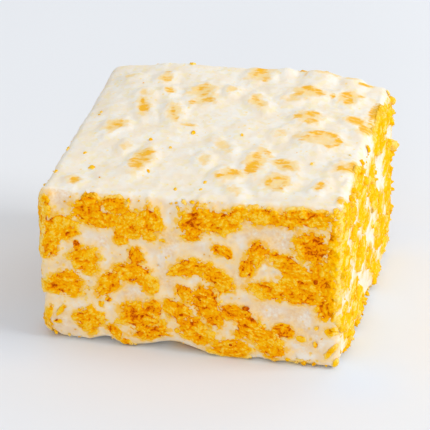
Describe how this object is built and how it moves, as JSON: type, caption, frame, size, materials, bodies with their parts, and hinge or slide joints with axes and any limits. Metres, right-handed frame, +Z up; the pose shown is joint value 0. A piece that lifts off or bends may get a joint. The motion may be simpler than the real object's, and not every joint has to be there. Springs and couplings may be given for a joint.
{
  "type": "crispy cereal treat",
  "caption": "Square block of set marshmallow packed with crunchy corn cereal, cut from a slab; a free-standing sweet snack.",
  "frame": {"origin": "middle of the underside, on the surface that the treat stands on", "axes": "+Z up, +X along the cut front to the viewer's right, +Y from the cut front to the back"},
  "size_m": [0.0788, 0.0735, 0.0511],
  "materials": {
    "marshmallow": "satin",
    "cereal": "matte"
  },
  "bodies": {
    "root": {"crispy_treat": "marshmallow"}
  },
  "joints": []
}
